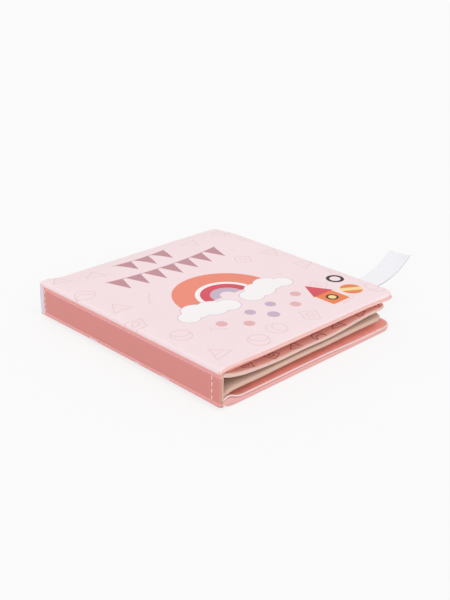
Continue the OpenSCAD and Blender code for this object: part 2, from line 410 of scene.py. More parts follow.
def discs_distance(tree, point, discs):
    """Signed distance to the union of discs that are given in mm."""
    reach = None
    for x, y, radius in discs:
        disc = disc_distance(tree, point, (x * MM, y * MM, 0.0), radius * MM)
        reach = disc if reach is None else either(tree, reach, disc)
    return reach


def front_print(tree):
    """Print of the front cover: faint outlines, pennants, a rainbow over clouds and toy blocks."""
    palette = colours()
    pink = tuple(palette.cover_pink)
    point = flat_point(tree)
    ground = paint(tree, pink, motif_distance(tree, point), tuple(palette.motif_pink), 2 * PRINT_EDGE)

    quiet = box_distance(tree, point, (-3 * MM, 58 * MM, 0.0), 26 * MM, 14 * MM)
    quiet = either(tree, quiet, box_distance(tree, point, (-3 * MM, 38 * MM, 0.0), 50 * MM, 13 * MM))
    quiet = either(tree, quiet, disc_distance(tree, point, RAINBOW_AT, 46 * MM))
    ground = paint(tree, ground, quiet, pink)

    for garland in GARLANDS:
        string, pennant = garland_distances(tree, point, *garland)
        ground = paint(tree, ground, pennant, tuple(palette.rose))
        ground = paint(tree, ground, string, tuple(palette.rose))

    over = calc(tree, "SUBTRACT", RAINBOW_AT[1], parts_of(tree, point)[1])
    for name, outer, inner in RAINBOW_BANDS:
        band = disc_distance(tree, point, RAINBOW_AT, (outer + inner) / 2)
        band = both(tree, outline(tree, band, outer - inner), over)
        ground = paint(tree, ground, band, tuple(getattr(palette, name)))
    cloud = discs_distance(tree, point, CLOUDS)
    ground = paint(tree, ground, outline(tree, cloud, MOTIF_LINE), tuple(palette.lilac))
    ground = paint(tree, ground, cloud, tuple(palette.cloud))
    ground = paint(tree, ground, discs_distance(tree, point, PINK_DROPS), tuple(palette.rose_pale))
    ground = paint(tree, ground, discs_distance(tree, point, LILAC_DROPS), tuple(palette.lilac))
    return toy_blocks(tree, point, ground)


def toy_blocks(tree, point, ground):
    """A block house, a striped ball and a hoop at the tail end of the fore edge."""
    palette = colours()
    wall_at = (38 * MM, -60 * MM, 0.0)
    roof_at = (38 * MM, -48 * MM, 0.0)
    ball_at = (56 * MM, -60 * MM, 0.0)
    hoop_at = (61 * MM, -43 * MM, 0.0)
    wall = box_distance(tree, point, wall_at, 7.5 * MM, 7.5 * MM)
    roof = polygon_distance(tree, point, roof_at, 5 * MM, 3, -math.pi / 2)
    window = disc_distance(tree, point, wall_at, 3.2 * MM)
    ball = disc_distance(tree, point, ball_at, 7 * MM)
    stripe = polygon_distance(tree, point, ball_at, 2.2 * MM, 2, math.pi / 3)
    hoop = outline(tree, disc_distance(tree, point, hoop_at, 4.6 * MM), 2.2 * MM)
    for shape, name in (
        (wall, "orange"), (roof, "red"), (window, "yellow"), (ball, "orange"),
        (both(tree, ball, stripe), "yellow"), (outline(tree, window, 1.4 * MM), "ink"), (hoop, "ink"),
    ):
        ground = paint(tree, ground, shape, tuple(getattr(palette, name)))
    return ground


THREAD_PITCH = 0.9 * MM  # drawn about twice as coarse as the cotton's, so that the weave shows


def cloth_normal(tree, dent, weave=0.035 * MM, pitch=THREAD_PITCH):
    """Normal of plain-woven cloth: crossing threads over soft dents of about 20 mm."""
    place = object_point(tree)
    waves = []
    for part in parts_of(tree, place):
        phase = calc(tree, "MULTIPLY", part, 2 * math.pi / pitch)
        waves.append(calc(tree, "SINE", phase))
    grid = calc(tree, "MULTIPLY", waves[0], waves[1])
    grid = calc(tree, "ADD", grid, waves[2])
    dents = relief(tree, noise_pattern(tree, place, 55.0, 3.0, 0.45), 1.0, dent)
    return relief(tree, grid, 0.6, weave, Normal=dents)


DEEPER_DYE = (0.55, 0.32, 0.30, 1.0)


def shade_variation(tree, colour, amount):
    """Colour with the slight unevenness of dyed and printed cotton."""
    blotch = noise_pattern(tree, object_point(tree), 32.0, 4.0, 0.6)
    limits = {"From Min": 0.3, "From Max": 0.7, "To Min": 0.0, "To Max": amount}
    factor = add_node(tree, "MapRange", {"Value": blotch, **limits}).outputs[0]
    return add_node(tree, "Mix", {0: factor, 6: colour, 7: DEEPER_DYE}, data_type="RGBA").outputs[2]


def finish_cloth(tree, shader, colour, dent=0.25 * MM, variation=0.05, roughness=0.82, sheen=0.15):
    """Cotton: matt, with a little fuzz that brightens it at grazing angles."""
    tree.links.new(shade_variation(tree, colour, variation), shader.inputs["Base Color"])
    tree.links.new(cloth_normal(tree, dent), shader.inputs["Normal"])
    fill(shader, {"Roughness": roughness, "Specular IOR Level": 0.25})
    fill(shader, {"Sheen Weight": sheen, "Sheen Roughness": 0.5})


def printed_cotton():
    """Front cover's printed cotton sateen: smooth and matt, with crisp flat fields of ink."""
    material, tree, shader = new_material("printed cotton")
    finish_cloth(tree, shader, front_print(tree), dent=0.3 * MM, variation=0.035)
    return material


def dyed_cotton(name, colour, dent=0.25 * MM, variation=0.07):
    """Plain dyed cotton."""
    material, tree, shader = new_material(name)
    finish_cloth(tree, shader, colour, dent, variation)
    return material


def spine_cotton():
    """Spine's dyed cotton, with a painted highlight: paler past the stitches, where it turns towards the
    covers and catches the light.
    """
    material, tree, shader = new_material("salmon cotton")
    height = parts_of(tree, object_point(tree))[2]
    middle = (SPINE_LOW.z + SPINE_HIGH.z) / 2
    reach = (SPINE_HIGH.z - SPINE_LOW.z) / 2 - SPINE_EDGE_STITCH - 0.6 * MM
    height = calc(tree, "SUBTRACT", height, middle)
    height = calc(tree, "ABSOLUTE", height)
    past = calc(tree, "SUBTRACT", reach, height)
    # Painted highlight: the edges past the stitch rows are painted paler rather than lit.
    base = paint(tree, tuple(colours().salmon), past, tuple(colours().salmon_lit_edge), 0.3 * MM)
    finish_cloth(tree, shader, base, dent=0.2 * MM)
    return material


def outlined_cotton(name, ground, line):
    """Cotton with thin printed outlines."""
    material, tree, shader = new_material(name)
    point = vector_calc(tree, "ADD", flat_point(tree), LEAF_MOTIF_SHIFT)
    motifs = motif_distance(tree, point, LEAF_MOTIF_PITCH, LEAF_MOTIF_LINE, 0.15)
    base = paint(tree, tuple(ground), motifs, tuple(line), 2 * PRINT_EDGE)
    finish_cloth(tree, shader, base)
    return material


def satin_ribbon():
    """Woven satin: smoother than the cotton, with fine ribs across the ribbon."""
    material, tree, shader = new_material("satin ribbon")
    across = parts_of(tree, object_point(tree))[1]
    phase = calc(tree, "MULTIPLY", across, 2 * math.pi / (0.6 * MM))
    ribs = calc(tree, "SINE", phase)
    tree.links.new(relief(tree, ribs, 0.4, 0.02 * MM), shader.inputs["Normal"])
    fill(shader, {"Base Color": tuple(colours().ribbon), "Roughness": 0.42, "Sheen Weight": 0.1})
    return material


def sewing_thread(name, colour):
    """Twisted polyester thread, slightly glossy."""
    material, tree, shader = new_material(name)
    twist = noise_pattern(tree, object_point(tree), 2500.0, 1.0)
    tree.links.new(relief(tree, twist, 0.5, 0.05 * MM), shader.inputs["Normal"])
    fill(shader, {"Base Color": colour, "Roughness": 0.55})
    return material


def plain_filling(name, colour, roughness, scale):
    """Foam, felt or film inside the cloth."""
    material, tree, shader = new_material(name)
    grain = noise_pattern(tree, object_point(tree), scale, 3.0)
    tree.links.new(relief(tree, grain, 0.6, 0.2 * MM), shader.inputs["Normal"])
    fill(shader, {"Base Color": colour, "Roughness": roughness})
    return material


def object_from(bm, name, materials, smooth=True):
    """Links a finished bmesh as an object at the origin."""
    mesh = bpy.data.meshes.new(name)
    bm.to_mesh(mesh)
    bm.free()
    for material in materials:
        mesh.materials.append(material)
    if smooth:
        mesh.shade_smooth()
    obj = bpy.data.objects.new(name, mesh)
    bpy.context.scene.collection.objects.link(obj)
    return obj


def quilt(bm, columns, rows, place, index=lambda i, j: 0):
    """Adds a grid of cloth: place(i, j) gives its points and index(i, j) the material of its cells."""
    made = bmesh.ops.create_grid(bm, x_segments=columns, y_segments=rows, size=0.5)
    cells = {v: (round((v.co.x + 0.5) * columns), round((v.co.y + 0.5) * rows)) for v in made["verts"]}
    for v, cell in cells.items():
        v.co = place(*cell)
    for face in {f for v in cells for f in v.link_faces}:
        face.material_index = index(*(min(cells[v][k] for v in face.verts) for k in (0, 1)))


def close_skins(bm, near=0.01 * MM):
    """Merges the points that skins share and turns the faces outwards."""
    bmesh.ops.remove_doubles(bm, verts=bm.verts, dist=near)
    bmesh.ops.recalc_face_normals(bm, faces=bm.faces)


def arc_rows(start, stop, radius, count):
    """Rows on a rim of that radius: each one's inset, and its share of the rise from start to stop."""
    low, high = math.sin(start), math.sin(stop)
    rows = []
    for k in range(count + 1):
        angle = start + (stop - start) * k / count
        rows.append((radius * (1 - math.cos(angle)), (math.sin(angle) - low) / (high - low)))
    return rows


def spread(rows, total, low, high):
    """Row positions over a width, and each row's share of the full height."""
    inner = rows - len(low) - len(high) + 2
    a, b = low[-1][0], total - high[-1][0]
    places = [r[0] for r in low] + [a + (b - a) * k / inner for k in range(1, inner)]
    lifts = [r[1] for r in low] + [1.0] * (inner - 1) + [r[1] for r in reversed(high)]
    return places + [total - r[0] for r in reversed(high)], lifts


def rounded_plan(x, y, x1, half, tail_r, head_r):
    """Moves a point of a square plan on to one with round corners at the fore edge."""
    radius = tail_r if y < 0 else head_r
    u = (x - (x1 - radius)) / radius
    v = (abs(y) - (half - radius)) / radius
    if u <= 0 or v <= 0:
        return x, y
    pull = max(u, v) / math.hypot(u, v)
    side = -1 if y < 0 else 1
    return x1 - radius + u * pull * radius, side * (half - radius + v * pull * radius)


RIM_ROWS = 8
SHRINK = 0.62 * MM


def bump(x, middle, width):
    """Smooth hump of height 1."""
    return math.exp(-((x - middle) / width) ** 2)


def by_table(table, x):
    """Value at x of a smooth line through (place, value) pairs that are given in mm."""
    for (a, low), (b, high) in zip(table, table[1:]):
        if x < b * MM:
            break
    return (low + (high - low) * ease(x, a * MM, b * MM)) * MM


# How far the front cover's seam lies above its plain height, by distance from the crease.
FRONT_SEAM = ((0, -0.8), (5, 1.0), (14, 0.9), (36, 0.0), (120, 0.0), (148, -1.2))
HEAD_SEAM_H = 0.7 * MM
# Height of the back cover's turned seam edge, which curls in towards the leaves.
BACK_LIP = ((0, -0.45), (85, -0.45), (118, 0.45), (148, 0.45))
HEAD_DROP = 2 * MM
HEAD_INSET = 0.8 * MM
CREASE_LIFT = 0.5 * MM


class Cover:
    """Shape of one padded cover, from its crease at x = 0, inner face at z = 0 and outer face up."""

    def __init__(self, front, run, tail_r):
        """The run is that of its nose, and tail_r its fore corner's radius at the tail."""
        s = sizes()
        self.front = front
        self.run = run
        self.tail_r = tail_r
        self.head_r = s.head_corner_r
        self.width = FORE_X - CREASE_X
        self.seam_h = s.front_seam_h if front else s.back_seam_h
        self.gap = s.seam_band * (1.0 if front else 0.5)
        self.rise = s.seam_band * (1.5 if front else 0.5)
        if front:
            self.place = Matrix.Translation((CREASE_X, 0.0, FRONT_INNER_Z))
        else:
            self.place = Matrix.Translation((CREASE_X, 0.0, BACK_INNER_Z)) @ Matrix.Diagonal((1, 1, -1, 1))

    def point(self, x, y, z):
        """Point of the cover: its head edge is drawn in, and the back cover's crease bows up."""
        drawn = HEAD_INSET * ease(x, 3 * MM, 18 * MM) * max(0.0, y) / HALF_L
        if not self.front:
            z -= CREASE_LIFT * (1 - (y / HALF_L) ** 2) * (1 - ease(x, 0.0, self.run))
        return self.place @ Vector((x, y - drawn, z))

    def outer_z(self, x, y):
        """The outer face: the front cover's slopes down towards its head edge."""
        if not self.front:
            return COVER_T
        return COVER_T - HEAD_DROP * ease(y, HALF_L - 24 * MM, HALF_L) * ease(x, 3 * MM, 18 * MM)

    def inner_z(self, x, y):
        """The inner face: the back cover's puckers up at the tail end of its crease."""
        if self.front:
            return 0.0
        return -3.0 * MM * bump(x, 6.5 * MM, 5.5 * MM) * ease(-y, HALF_L - 16 * MM, HALF_L)

    def seam_z(self, x, y):
        """Height of the rim seam: the front cover's runs lower along the head edge."""
        if not self.front:
            return self.seam_h + self.inner_z(x, y)
        tail = self.seam_h + by_table(FRONT_SEAM, x)
        return tail + (HEAD_SEAM_H - tail) * ease(y, 0.0, HALF_L)

    def nose_lift(self, x, y):
        """Share of its rise that the outer face has made: the back cover's heel is shorter at the tail."""
        run = self.run if self.front else self.run - 4 * MM * ease(-y, HALF_L - 22 * MM, HALF_L)
        left = max(0.0, 1 - x / run)
        return math.sqrt(1 - left * left) if self.front else 1 - left ** 1.6

    def outer_at(self, x, y):
        """Height of the outer face between the crease and the rim."""
        low = min(self.seam_z(x, 0.0) + self.rise, COVER_T - 0.1 * MM)
        return low + (self.outer_z(x, y) - low) * self.nose_lift(x, y)

    def ripple(self, x, y):
        """Puckers that the rim seam draws in the cloth."""
        edge = min(HALF_L - abs(y), self.width - x)
        near = 1 - ease(edge, 0.0, 9 * MM)
        side = y if self.width - x < HALF_L - abs(y) else x
        return near * 0.16 * MM * noise.noise(Vector((side * 260, edge * 40, 5.0 if self.front else 9.0)))

    def skin(self, bm, outer):
        """One skin of the cover up to its seam band."""
        s = sizes()
        r = COVER_T / 2
        gap = self.rise if outer else -self.gap
        start = math.asin((self.seam_h + gap - r) / r)
        rim = arc_rows(start, math.pi / 2 if outer else -math.pi / 2, r, RIM_ROWS)
        nose = arc_rows(0.0, math.pi / 2, self.run if outer else s.crease_taper, RIM_ROWS)
        if outer:
            nose = [(x, 1.0) for x, lift in nose]
        xs, lift_x = spread(s.across, self.width, nose, rim)
        ys, lift_y = spread(s.along, 2 * HALF_L, rim, rim)

        def place(i, j):
            x, y = rounded_plan(xs[i], ys[j] - HALF_L, self.width, HALF_L, self.tail_r, self.head_r)
            low = min(self.seam_z(x, y) + gap, COVER_T - 0.1 * MM)
            high = self.outer_z(x, y) if outer else self.inner_z(x, y)
            lift = lift_x[i] * lift_y[j] * (self.nose_lift(x, y) if outer else 1.0)
            return self.point(x, y, low + (high - low + self.ripple(x, y)) * lift)

        quilt(bm, s.across, s.along, place, lambda i, j: 0 if outer else 1)

    def cushion(self):
        """Closed cover: outer skin, lining and the seam band between them."""
        bm = bmesh.new()
        self.skin(bm, True)
        self.skin(bm, False)
        rings = [e for e in bm.edges if e.is_boundary]
        for face in bmesh.ops.bridge_loops(bm, edges=rings)["faces"]:
            face.material_index = 2
        bmesh.ops.recalc_face_normals(bm, faces=bm.faces)
        return bm

    def pad(self):
        """Foam inside the cover."""
        columns, rows = 40, 44
        x0, x1 = 2.5 * MM, self.width - SHRINK
        half = HALF_L - SHRINK
        rim = arc_rows(0.0, math.pi / 2, COVER_T / 2 - SHRINK, 4)
        xs, lift_x = spread(columns, x1 - x0, rim, rim)
        ys, lift_y = spread(rows, 2 * half, rim, rim)
        taper = sizes().crease_taper
        radii = self.tail_r - SHRINK, self.head_r - SHRINK
        bm = bmesh.new()
        for side in (1, -1):
            def place(i, j):
                x, y = rounded_plan(xs[i] + x0, ys[j] - half, x1, half, *radii)
                left = max(0.0, 1 - x / taper)
                bottom = SHRINK + self.seam_z(x, 0.0) * (1 - math.sqrt(1 - left * left))
                top = max(self.outer_at(x, y) - SHRINK, bottom + 0.2 * MM)
                lift = side * (top - bottom) / 2 * lift_x[i] * lift_y[j]
                return self.point(x, y, (top + bottom) / 2 + lift)

            quilt(bm, columns, rows, place)
        close_skins(bm)
        return bm

    def seam_path(self):
        """Points of the turned seam edge, from the crease round the fore edge and back."""
        inset = (0.6 if self.front else 0.9) * sizes().seam_r
        x1, half = self.width - inset, HALF_L - inset
        steps = 90
        plan = [(x1 * k / steps, -half) for k in range(1, steps + 1)]
        plan += [(x1, half * (2 * k / steps - 1)) for k in range(1, steps + 1)]
        plan += [(x1 * (1 - k / steps), half) for k in range(1, steps)]
        points = []
        for x, y in plan:
            x, y = rounded_plan(x, y, x1, half, self.tail_r - inset, self.head_r - inset)
            z = by_table(BACK_LIP, x) + self.inner_z(x, y)
            if self.front:
                z = self.seam_z(x, y) - self.gap / 2
            points.append(self.point(x, y, z))
        return points

    def nose(self, share, y):
        """Point just over the outer face, at a share of the nose's run from the crease."""
        x = self.run * share
        return self.point(x - 0.12 * MM * (1 - share), y, self.outer_at(x, y) + 0.05 * MM)


def tube(bm, points, radius, sides=8):
    """Adds a closed tube along a path that stays nearly level."""
    count = len(points)

    def place(i, j):
        ahead = points[min(i + 1, count - 1)] - points[max(i - 1, 0)]
        level = Vector((ahead.y, -ahead.x, 0.0)).normalized()
        upright = level.cross(ahead).normalized()
        angle = 2 * math.pi * j / sides
        thick = radius if 0 < i < count - 1 else radius * 0.05
        return points[i] + thick * (math.cos(angle) * level + math.sin(angle) * upright)

    quilt(bm, count - 1, sides, place)


def puff(obj, pinned, pressure, cap, slack):
    """Lets the filling push the cloth out, with the seams held and no point moving past cap."""
    group = obj.vertex_groups.new(name="sewn")
    group.add(pinned, 1.0, "REPLACE")
    cloth = obj.modifiers.new("Cloth", "CLOTH")
    settings = cloth.settings
    settings.quality = 4
    settings.mass = 0.15
    settings.tension_stiffness = 12
    settings.compression_stiffness = 12
    settings.bending_stiffness = 0.05
    settings.use_pressure = True
    settings.uniform_pressure_force = pressure
    settings.shrink_min = -slack
    settings.vertex_group_mass = "sewn"
    settings.effector_weights.gravity = 0
    cloth.collision_settings.use_collision = False
    scene = bpy.context.scene
    cloth.point_cache.frame_start = 1
    cloth.point_cache.frame_end = 20
    for number in range(1, 21):
        scene.frame_set(number)
    result = obj.evaluated_get(bpy.context.evaluated_depsgraph_get()).to_mesh()
    normals = [v.normal.copy() for v in obj.data.vertices]
    for v, moved, normal in zip(obj.data.vertices, result.vertices, normals):
        v.co += normal * max(0.0, min(cap, (moved.co - v.co).dot(normal)))
    obj.modifiers.remove(cloth)
    obj.vertex_groups.remove(group)
    scene.frame_set(1)


def thicken(obj, thickness, offset=-1.0):
    """Gives cloth its thickness, inwards unless told otherwise."""
    solid = obj.modifiers.new("Thickness", "SOLIDIFY")
    solid.thickness = thickness
    solid.offset = offset


def smoothen(obj):
    """Rounds a cloth strip's facets."""
    smooth = obj.modifiers.new("Smooth", "SUBSURF")
    smooth.levels = smooth.render_levels = 1


def make_cover(front, run, tail_r, outer_material, lining_material, band_material, seam_material):
    """One padded cover: foam, the outer cloth and the lining, sewn together round the rim."""
    s = sizes()
    side = "front_cover" if front else "back_cover"
    cover = Cover(front, run, tail_r)
    cushion = object_from(cover.cushion(), side + "_cushion", [])
    sewn = {v for face in cushion.data.polygons if face.material_index == 2 for v in face.vertices}
    sewn |= {v.index for v in cushion.data.vertices if v.co.x < CREASE_X + 2 * MM}
    puff(cushion, sorted(sewn), 3.0, s.puff_cap, 0.012)
    for v in cushion.data.vertices:
        v.co.z = max(v.co.z, 0.0)
    for part, kept, node, slot in (
        ("case", (0, 2), side + "_cloth", ("front" if front else "back") + "_cloth"),
        ("inside", (1,), side + "_lining", "lining_cloth"),
    ):
        bm = bmesh.new()
        bm.from_mesh(cushion.data)
        gone = [f for f in bm.faces if f.material_index not in kept]
        bmesh.ops.delete(bm, geom=gone, context="FACES")
        piece = object_from(bm, f"{side}_{part}", [outer_material, lining_material, band_material])
        thicken(piece, s.cloth_t)
        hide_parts(node)
        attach(piece, side)
    bpy.data.objects.remove(cushion)
    bm = bmesh.new()
    tube(bm, cover.seam_path(), s.seam_r)
    close_skins(bm, 0.001 * MM)
    seam = object_from(bm, side + "_seam", [seam_material])
    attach(seam, side)
    foam = object_from(cover.pad(), side + "_foam", [bpy.data.materials["polyurethane foam"]])
    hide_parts(side + "_pad")
    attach(foam, side)


class CRINKLEBOOK_OT_front_cover(bpy.types.Operator):
    """Makes the front cover's printed case, its lining and its foam"""

    bl_idname = "crinklebook.front_cover"
    bl_label = "Front Cover"

    def execute(self, context):
        seam = dyed_cotton("peach seam edge", tuple(colours().front_seam))
        lining = dyed_cotton("coral lining cotton", tuple(colours().lining))
        make_cover(True, sizes().front_run, sizes().front_tail_r, printed_cotton(), lining, seam, seam)
        return {"FINISHED"}


class CRINKLEBOOK_OT_back_cover(bpy.types.Operator):
    """Makes the back cover's case, its lining and its foam"""

    bl_idname = "crinklebook.back_cover"
    bl_label = "Back Cover"

    def execute(self, context):
        salmon = dyed_cotton("back salmon cotton", tuple(colours().back_salmon))
        lining = bpy.data.materials["coral lining cotton"]
        seam = dyed_cotton("pale pink seam edge", tuple(colours().back_seam))
        make_cover(False, sizes().back_run, sizes().back_tail_r, salmon, lining, salmon, seam)
        return {"FINISHED"}


# The sheet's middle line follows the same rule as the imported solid's.
SAG_RUN = 13.5 * MM
CLIMB_RUN = 3 * MM
CURL_RUN = 61 * MM
BACK_RISE = 0.3 * MM
SHEET_INSET = 0.4 * MM
FRONT_REST = 10 * MM
BACK_REST = 5.8 * MM
FORE_GAP = 3.4 * MM
BACK_LEAF_SHORT = 3 * MM


def sheet_lines():
    """Middle lines of the front leaf and the back leaf, each from the spine outwards."""
    s = sizes()
    root_x = SHEET_LOW.x + s.lining_t / 2
    front_root = SPINE_HIGH.z - SHEET_INSET - s.lining_t / 2
    back_root = SPINE_LOW.z + SHEET_INSET + s.lining_t / 2
    front_rest, back_rest = BACK_INNER_Z + FRONT_REST, BACK_INNER_Z + BACK_REST
    front_end = FRONT_INNER_Z - FORE_GAP - s.front_leaf_t / 2
    front_x = SHEET_HIGH.x - s.front_leaf_t / 2
    back_x = front_x - BACK_LEAF_SHORT
    steps = 60

    def front(x):
        sag = (front_root - front_rest) * math.exp(-(x - root_x) / SAG_RUN)
        return front_rest + sag + (front_end - front_rest) * ease(x, front_x - CURL_RUN, front_x)

    def back(x):
        climb = (back_rest - back_root) * math.exp(-(x - root_x) / CLIMB_RUN)
        return back_rest - climb + BACK_RISE * ease(x, root_x, back_x)

    def line(height, end_x):
        xs = [root_x + (end_x + s.front_leaf_t / 2 - root_x) * (k / steps) ** 2 for k in range(steps + 1)]
        return [Vector((x, 0.0, height(x))) for x in xs]

    return line(front, front_x), line(back, back_x)


def sheet_path():
    """Points of the whole sheet's middle line: front leaf, spine lining, back leaf."""
    front, back = sheet_lines()
    top, bottom = front[0], back[0]
    lining = [top.lerp(bottom, k / 12) for k in range(1, 12)]
    path = list(reversed(front)) + lining + back
    for _ in range(3):
        path = [path[0]] + [
            (a + 2 * b + c) / 4 for a, b, c in zip(path, path[1:], path[2:])
        ] + [path[-1]]
    return path


def along_path(path):
    """Function that gives the point and the unit normal at a distance along a path."""
    lengths = [0.0]
    for a, b in zip(path, path[1:]):
        lengths.append(lengths[-1] + (b - a).length)

    def at(distance):
        distance = max(0.0, min(lengths[-1], distance))
        k = next((n for n in range(1, len(lengths)) if lengths[n] >= distance), len(lengths) - 1)
        share = (distance - lengths[k - 1]) / (lengths[k] - lengths[k - 1])
        point = path[k - 1].lerp(path[k], share)
        before, after = path[max(0, k - 2)], path[min(len(path) - 1, k + 1)]
        tangent = (after - before).normalized()
        return point, Vector((tangent.z, 0.0, -tangent.x))

    return at, lengths[-1]


SHEET_ROWS = 200
SHEET_RIM = 5
PALE_RIM = 4
# The sheet's hem at the spine's ends: its thickness, how much thicker the front leaf is where it starts,
# how far the hem is drawn towards the band and how far it moves out over the band's ends.
SPINE_HEM = 2.5 * MM
ROOT_SWELL = 0.5 * MM
HEM_TUCK = 0.95 * MM
HEM_REACH = 1.9 * MM


class CRINKLEBOOK_OT_leaves(bpy.types.Operator):
    """Makes the folded double sheet, pink outside and beige inside"""

    bl_idname = "crinklebook.leaves"
    bl_label = "Leaves"

    def execute(self, context):
        s = sizes()
        at, total = along_path(sheet_path())
        front, back = sheet_lines()
        spine_from = along_path(front)[1]
        spine_to = total - along_path(back)[1]
        half = SHEET_HIGH.y
        r = s.leaf_corner_r
        rim = arc_rows(0.0, math.pi / 2, s.front_leaf_t / 2, SHEET_RIM)
        ss, lift_s = spread(SHEET_ROWS, total, rim, rim)
        ys, lift_y = spread(s.along, 2 * half, rim, rim)

        def cut(i, j):
            """Place along the path, along the spine and into the spine's part of the sheet."""
            distance, y = ss[i], ys[j] - half
            turned = distance if distance > total / 2 else total - distance
            turned, y = rounded_plan(turned, y, total, half, r, r)
            distance = turned if distance > total / 2 else total - turned
            return distance, y, min(distance - spine_from, spine_to - distance)

        def near_end(y):
            """1 at the sheet's ends, where its hem is."""
            return ease(abs(y), half - 6 * MM, half - 2 * MM)

        def thickness(distance, y, inside):
            """Thickness of the leaf or of the spine's part."""
            spine = s.lining_t + (SPINE_HEM - s.lining_t) * near_end(y)
            leaf = s.back_leaf_t
            if distance < total / 2:
                leaf = s.front_leaf_t + ROOT_SWELL * ease(distance, spine_from - 40 * MM, spine_from - 8 * MM)
            return leaf + (spine - leaf) * ease(inside, -3 * MM, 0.5 * MM)

        bm = bmesh.new()
        for side in (1, -1):
            def place(i, j):
                distance, y, inside = cut(i, j)
                point, normal = at(distance)
                free = ease(-inside, 4 * MM, 30 * MM)
                edge = half - abs(y)
                wave = 0.3 * MM * noise.noise(Vector((distance * 45, y * 45, 3.0)))
                wave += 0.15 * MM * (1 - ease(edge, 0.0, 22 * MM)) * math.sin(distance * 110 + y * 9)
                pucker = noise.noise(Vector((distance * 300, y * 30, 7.0)))
                pucker *= 0.12 * MM * (1 - ease(edge, 0.0, 6 * MM))
                lift = side * (thickness(distance, y, inside) / 2 + pucker) * lift_s[i] * lift_y[j]
                held = ease(inside, -3 * MM, 0.5 * MM)
                tuck = held * HEM_TUCK * near_end(y)
                v = point + normal * (lift + wave * free)
                return Vector((v.x - tuck, y * (1 + held * HEM_REACH / half), v.z))

            def index(i, j):
                rim_row = min(i, SHEET_ROWS - 1 - i) < PALE_RIM or min(j, s.along - 1 - j) < PALE_RIM
                front_leaf, back_leaf = ss[i] < spine_from, ss[i] > spine_to
                # At the spine's ends the band side gets the darker beige of painted shade for the crevice
                # against the band.
                if rim_row and not front_leaf and not back_leaf:
                    return 2 if side < 0 else 3
                if rim_row:
                    return 2 if front_leaf else 1
                return 1 if side < 0 else 0

            quilt(bm, SHEET_ROWS, s.along, place, index)
        close_skins(bm)
        palette = colours()
        sheet = object_from(bm, "folded_sheet", [
            outlined_cotton("leaf cotton", palette.leaf_pink, palette.leaf_line),
            dyed_cotton("beige cotton", tuple(palette.beige)),
            dyed_cotton("pale leaf edge", tuple(palette.leaf_edge)),
            dyed_cotton("raw hem", tuple(palette.hem)),
        ])
        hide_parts("page_sheet")
        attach(sheet, "spine_and_leaves")
        return {"FINISHED"}


# How far the stitches pull the spine's face in, over which distance, and its soft dents.
SPINE_PULL = 0.45 * MM
SPINE_PULL_RUN = 1.8 * MM
SPINE_DENT = 0.12 * MM


def spine_stitch_box():
    """Stitched rectangle on the spine: tail, head, bottom and top."""
    return (
        -HALF_L + SPINE_TAIL_STITCH, HALF_L - SPINE_HEAD_STITCH,
        SPINE_LOW.z + SPINE_EDGE_STITCH, SPINE_HIGH.z - SPINE_EDGE_STITCH,
    )


def spine_bulge(y, z):
    """Relief of the spine's outer face: pulled in along the stitches and soft between them."""
    tail, head, bottom, top = spine_stitch_box()
    gap = min(abs(y - tail), abs(y - head), abs(z - bottom), abs(z - top))
    dents = SPINE_DENT * noise.noise(Vector((y * 60, z * 90, 1.0)))
    return SPINE_PULL * ease(gap, 0.0, SPINE_PULL_RUN) + dents


SPINE_ROWS = (150, 34)
SCRAP_W = 3.6 * MM


class CRINKLEBOOK_OT_spine(bpy.types.Operator):
    """Makes the padded spine band"""

    bl_idname = "crinklebook.spine"
    bl_label = "Spine"

    def execute(self, context):
        half = (SPINE_HIGH.x - SPINE_LOW.x) / 2
        rim = arc_rows(0.0, math.pi / 2, half, SHEET_RIM)
        ys, lift_y = spread(SPINE_ROWS[0], 2 * HALF_L, rim, rim)
        zs, lift_z = spread(SPINE_ROWS[1], SPINE_HIGH.z - SPINE_LOW.z, rim, rim)
        bm = bmesh.new()
        for side in (-1, 1):
            def place(i, j):
                y, z = ys[i] - HALF_L, SPINE_LOW.z + zs[j]
                lift = lift_y[i] * lift_z[j]
                bulge = spine_bulge(y, z) if side < 0 else 0.0
                low = max(0.0, 1 - zs[j] / (5 * MM)) * (1 - (y / HALF_L) ** 2)
                return Vector((SPINE_LOW.x + half + (side * half - bulge) * lift, y, z + CREASE_LIFT * low))

            quilt(bm, *SPINE_ROWS, place)
        close_skins(bm)
        for face in bm.faces:
            if face.calc_center_median().y > HALF_L - SCRAP_W:
                face.material_index = 1
        scrap = dyed_cotton("white seam allowance", tuple(colours().scrap))
        band = object_from(bm, "spine_band", [spine_cotton(), scrap])
        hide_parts("spine_cloth")
        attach(band, "spine_and_leaves")
        return {"FINISHED"}


CREASE_ROWS = 70
STRIP_INSET = 1.3 * MM
STRIP_T = 0.35 * MM


def crease_strip(name, cover, root, shares, material):
    """Strip of the outer cloth that bends round a crease, from the spine on to a cover."""
    half = HALF_L - STRIP_INSET
    columns = len(root) + len(shares) - 1

    def place(i, j):
        y = half * (2 * j / CREASE_ROWS - 1)
        ripple = Vector((0.06 * MM * noise.noise(Vector((y * 160, 0.0, i * 0.4))), 0.0, 0.0))
        if i < len(root):
            lift = 0.0 if cover.front else CREASE_LIFT * (1 - (y / HALF_L) ** 2)
            return Vector((root[i][0], y, root[i][1] + lift)) + ripple
        tuck = 0.25 * MM if i == columns else 0.0
        point = cover.nose(shares[i - len(root)], y) + ripple
        return point - Vector((0.0, 0.0, tuck if cover.front else -tuck))

    bm = bmesh.new()
    quilt(bm, columns, CREASE_ROWS, place)
    bmesh.ops.recalc_face_normals(bm, faces=bm.faces)
    strip = object_from(bm, name, [material])
    thicken(strip, STRIP_T, 0.0)
    smoothen(strip)
    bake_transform(strip)
    return strip


# Where the cloth leaves the groove beside the spine: out from the spine's face, up from the hinge.
GROOVE = ((1.0, -0.3), (0.45, -0.12), (0.1, 0.12), (-0.08, 0.5))
# Whitish scraps of seam allowance at the lower crease: from and to, along the spine.
SCRAPS = ((23.5, 31), (-15.5, -10.5), (-41, -33))
SCRAP_R = 0.65 * MM


